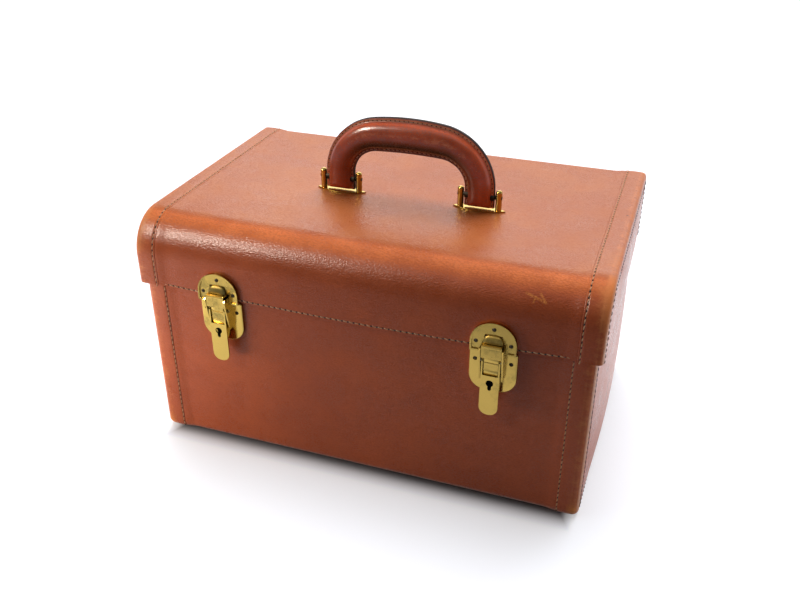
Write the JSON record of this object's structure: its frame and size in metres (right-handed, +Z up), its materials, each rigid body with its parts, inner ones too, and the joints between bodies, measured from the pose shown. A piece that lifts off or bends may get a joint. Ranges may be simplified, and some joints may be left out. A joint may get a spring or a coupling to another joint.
{
  "type": "vanity case",
  "caption": "Leather-covered vanity or train case with a hinged lid, top carrying handle, lid stays, inside mirror and lever draw latches that lock.",
  "frame": {"origin": "on the surface that the case stands on, midway between its two ends and midway from front to back of the lid", "axes": "+Z up, +X to the right along the front, -Y out of the front with the latches"},
  "size_m": [0.3496, 0.2315, 0.251],
  "materials": {
    "tan_leather": "worn satin",
    "handle_leather": "worn satin",
    "board": "pressed fibreboard",
    "lining": "woven",
    "brass": "tarnished",
    "steel": "satin",
    "mirror_glass": "polished"
  },
  "bodies": {
    "case": {"case_bottom_board": "board", "case_front_board": "board", "case_back_board": "board", "case_end_boards": "board", "case_cover": "tan_leather", "case_base_panel": "tan_leather", "case_left_binding": "tan_leather", "case_right_binding": "tan_leather", "case_left_end_panel": "tan_leather", "case_right_end_panel": "tan_leather", "collar_front": "lining", "collar_back": "lining", "collar_left": "lining", "collar_right": "lining", "floor_pad": "lining", "hinge_case_leaves": "brass", "hinge_pins": "steel", "latch_plate_left": "brass", "latch_plate_right": "brass", "lever_pins": "steel", "case_nails": "brass", "stay_studs": "steel"},
    "lid": {"lid_cover": "tan_leather", "lid_front_board": "board", "lid_corner_moulding": "board", "lid_top_board": "board", "lid_back_board": "board", "lid_end_boards": "board", "lid_left_binding": "tan_leather", "lid_right_binding": "tan_leather", "lid_left_end_panel": "tan_leather", "lid_right_end_panel": "tan_leather", "lid_lining": "lining", "mirror_frame": "lining", "mirror": "mirror_glass", "hinge_lid_leaves": "brass", "catch_plate_left": "brass", "catch_plate_right": "brass", "lid_nails": "brass", "stay_pivots": "steel", "handle_plate_left": "brass", "handle_plate_right": "brass", "handle_posts": "brass", "handle_pins": "steel"},
    "handle": {"handle_core": "steel", "handle_leather_front": "handle_leather", "handle_leather_back": "handle_leather", "handle_bushes": "brass"},
    "lever_left": {"lever_left": "brass", "link_pin_left": "steel"},
    "hook_left": {"hook_left": "brass"},
    "lock_cam_left": {"lock_cam_left": "steel"},
    "stay_arm_left": {"stay_arm_left": "steel"},
    "lever_right": {"lever_right": "brass", "link_pin_right": "steel"},
    "hook_right": {"hook_right": "brass"},
    "lock_cam_right": {"lock_cam_right": "steel"},
    "stay_arm_right": {"stay_arm_right": "steel"}
  },
  "joints": [
    {"name": "lid_hinge", "type": "hinge", "parent": "case", "child": "lid", "pos_m": [0, 0.1119, 0.1365], "axis": [-1, 0, 0], "range_deg": [0, 95]},
    {"name": "stay_pivot_left", "type": "hinge", "parent": "lid", "child": "stay_arm_left", "pos_m": [-0.15835, 0.04299, 0.1487], "axis": [-1, 0, 0], "range_deg": [-47.5, 0]},
    {"name": "stay_pivot_right", "type": "hinge", "parent": "lid", "child": "stay_arm_right", "pos_m": [0.15835, 0.04299, 0.1487], "axis": [-1, 0, 0], "range_deg": [-47.5, 0]},
    {"name": "latch_lever_left", "type": "hinge", "parent": "case", "child": "lever_left", "pos_m": [-0.1055, -0.112, 0.1264], "axis": [-1, 0, 0], "range_deg": [0, 105]},
    {"name": "hook_link_left", "type": "hinge", "parent": "lever_left", "child": "hook_left", "pos_m": [-0.1055, -0.1115, 0.1192], "axis": [-1, 0, 0], "range_deg": [-105, 0]},
    {"name": "lock_left", "type": "hinge", "parent": "lever_left", "child": "lock_cam_left", "pos_m": [-0.1055, -0.1121, 0.1098], "axis": [0, 1, 0], "range_deg": [0, 90]},
    {"name": "latch_lever_right", "type": "hinge", "parent": "case", "child": "lever_right", "pos_m": [0.1003, -0.112, 0.1264], "axis": [-1, 0, 0], "range_deg": [0, 105]},
    {"name": "hook_link_right", "type": "hinge", "parent": "lever_right", "child": "hook_right", "pos_m": [0.1003, -0.1115, 0.1192], "axis": [-1, 0, 0], "range_deg": [-105, 0]},
    {"name": "lock_right", "type": "hinge", "parent": "lever_right", "child": "lock_cam_right", "pos_m": [0.1003, -0.1121, 0.1098], "axis": [0, 1, 0], "range_deg": [0, 90]},
    {"name": "handle_swing", "type": "hinge", "parent": "lid", "child": "handle", "pos_m": [0.0065, -0.008, 0.1986], "axis": [1, 0, 0], "range_deg": [-88, 88]}
  ],
  "couplings": [
    {"joint": "stay_pivot_left", "follows": "lid_hinge", "ratio": -0.5},
    {"joint": "stay_pivot_right", "follows": "lid_hinge", "ratio": -0.5},
    {"joint": "hook_link_left", "follows": "latch_lever_left", "ratio": -1},
    {"joint": "hook_link_right", "follows": "latch_lever_right", "ratio": -1}
  ]
}
